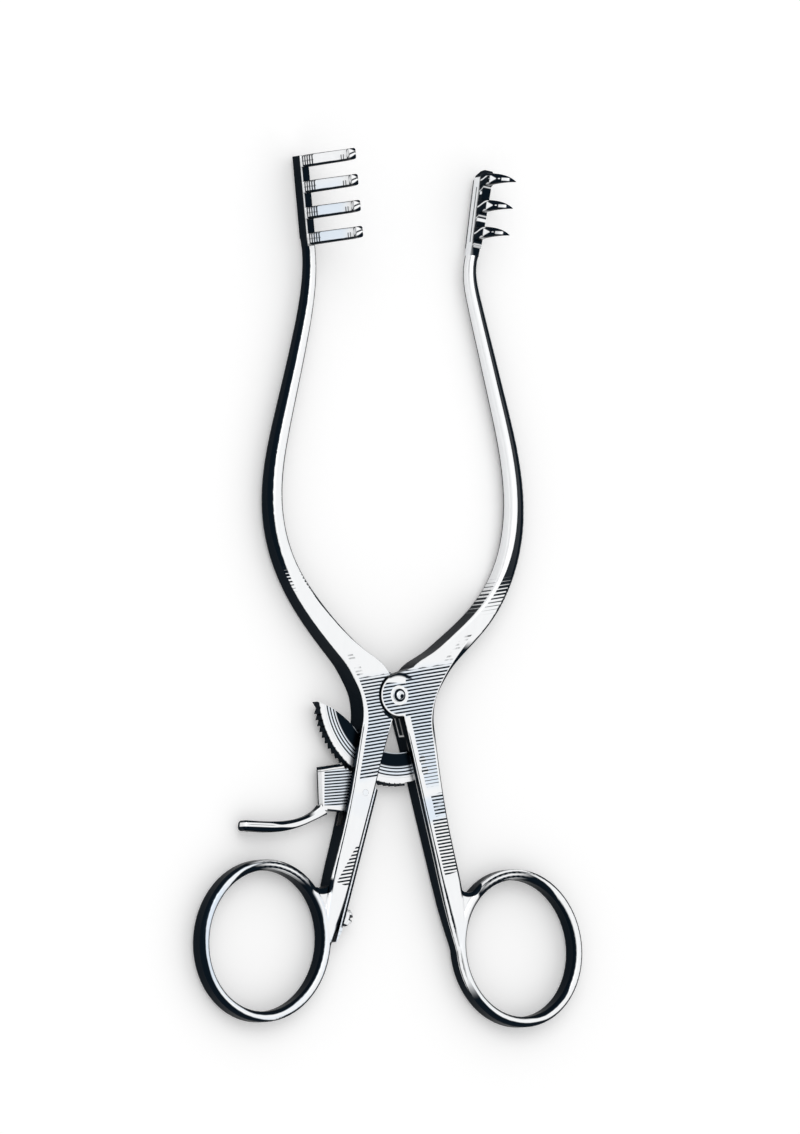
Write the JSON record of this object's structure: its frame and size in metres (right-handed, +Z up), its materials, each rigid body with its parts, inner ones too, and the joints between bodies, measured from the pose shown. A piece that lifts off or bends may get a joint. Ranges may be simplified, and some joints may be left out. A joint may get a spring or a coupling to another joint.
{
  "type": "self retaining retractor",
  "caption": "Surgical retractor of ring-handled pattern: pivoting bowed arms with pronged rakes, held open by a curved ratchet bar and a sprung release lever.",
  "frame": {"origin": "on the hinge's axis, in the plane that the retractor rests on when it lies with its prongs up", "axes": "+Y from the finger rings to the rakes, along the longest extent; +Z up out of the front, the way the prongs point; +X towards the arm that carries the ratchet bar"},
  "size_m": [0.0828, 0.1616, 0.0209],
  "materials": {
    "arm_steel": "satin, fine cross grinding",
    "rake_steel": "satin",
    "ratchet_steel": "turned satin",
    "spring_steel": "satin",
    "fastener_steel": "satin"
  },
  "bodies": {
    "left_arm": {"left_arm": "arm_steel", "left_rake": "rake_steel", "pivot_rivet": "fastener_steel", "lever_pin": "fastener_steel", "spring_screw": "fastener_steel"},
    "right_arm": {"right_arm": "arm_steel", "right_rake": "rake_steel", "ratchet_bar": "ratchet_steel", "ratchet_rivet_upper": "fastener_steel", "ratchet_rivet_lower": "fastener_steel"},
    "release_lever": {"release_lever": "ratchet_steel"},
    "leaf_spring": {"leaf_spring": "spring_steel"}
  },
  "joints": [
    {"name": "arms_hinge", "type": "hinge", "parent": "left_arm", "child": "right_arm", "pos_m": [0, 0, 0], "axis": [0, 0, 1], "range_deg": [-24, 20]},
    {"name": "lever_hinge", "type": "hinge", "parent": "left_arm", "child": "release_lever", "pos_m": [-0.00707, -0.01838, 0.0025], "axis": [0, 0, 1], "range_deg": [-7.5, 7], "stiffness_Nm_per_rad": 0.5},
    {"name": "leaf_bend", "type": "hinge", "parent": "left_arm", "child": "leaf_spring", "pos_m": [-0.01107, -0.04135, 0.0025], "axis": [0, 0, 1], "range_deg": [-0.9, 0.9]}
  ],
  "couplings": [
    {"joint": "leaf_bend", "follows": "lever_hinge", "ratio": -0.084}
  ]
}
